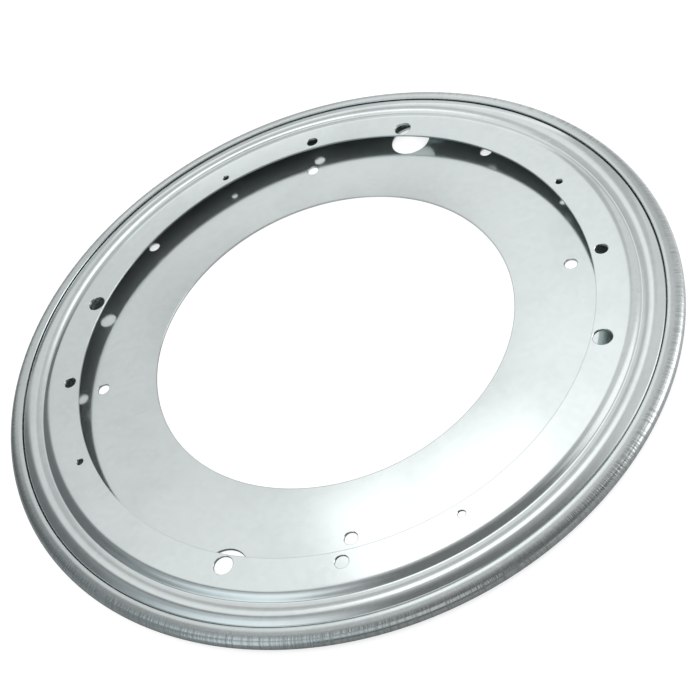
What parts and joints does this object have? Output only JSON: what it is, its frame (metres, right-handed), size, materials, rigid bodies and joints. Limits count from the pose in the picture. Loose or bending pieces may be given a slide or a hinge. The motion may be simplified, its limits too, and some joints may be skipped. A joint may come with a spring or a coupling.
{
  "type": "lazy susan bearing",
  "caption": "Flat round turntable bearing: two pressed galvanised steel rings turn on loose balls, held together by a rolled rim, with screw holes in both flanges.",
  "frame": {"origin": "on the turning axis, in the plane of the base ring's mounting face", "axes": "+Z along the turning axis, from the base ring to the top ring; +X through one of the base ring's inner screw holes"},
  "size_m": [0.3047, 0.3048, 0.0079],
  "materials": {
    "galvanised_sheet": "satin zinc coating on cold-rolled sheet",
    "ball_steel": "polished, lightly greased"
  },
  "bodies": {
    "base": {"base_ring": "galvanised_sheet"},
    "turntable": {"top_ring": "galvanised_sheet"},
    "ball_set": {"ball_01": "ball_steel", "ball_02": "ball_steel", "ball_03": "ball_steel", "ball_04": "ball_steel", "ball_05": "ball_steel", "ball_06": "ball_steel", "ball_07": "ball_steel", "ball_08": "ball_steel", "ball_09": "ball_steel", "ball_10": "ball_steel", "ball_11": "ball_steel", "ball_12": "ball_steel", "ball_13": "ball_steel", "ball_14": "ball_steel", "ball_15": "ball_steel", "ball_16": "ball_steel", "ball_17": "ball_steel", "ball_18": "ball_steel", "ball_19": "ball_steel", "ball_20": "ball_steel", "ball_21": "ball_steel", "ball_22": "ball_steel", "ball_23": "ball_steel", "ball_24": "ball_steel", "ball_25": "ball_steel", "ball_26": "ball_steel", "ball_27": "ball_steel", "ball_28": "ball_steel", "ball_29": "ball_steel", "ball_30": "ball_steel", "ball_31": "ball_steel", "ball_32": "ball_steel", "ball_33": "ball_steel", "ball_34": "ball_steel", "ball_35": "ball_steel", "ball_36": "ball_steel", "ball_37": "ball_steel", "ball_38": "ball_steel", "ball_39": "ball_steel", "ball_40": "ball_steel", "ball_41": "ball_steel", "ball_42": "ball_steel", "ball_43": "ball_steel", "ball_44": "ball_steel", "ball_45": "ball_steel", "ball_46": "ball_steel", "ball_47": "ball_steel", "ball_48": "ball_steel"}
  },
  "joints": [
    {"name": "swivel", "type": "hinge", "parent": "base", "child": "turntable", "pos_m": [0, 0, 0], "axis": [0, 0, 1], "continuous": true},
    {"name": "ball_orbit", "type": "hinge", "parent": "base", "child": "ball_set", "pos_m": [0, 0, 0], "axis": [0, 0, 1], "continuous": true}
  ],
  "couplings": [
    {"joint": "ball_orbit", "follows": "swivel", "ratio": 0.5}
  ]
}
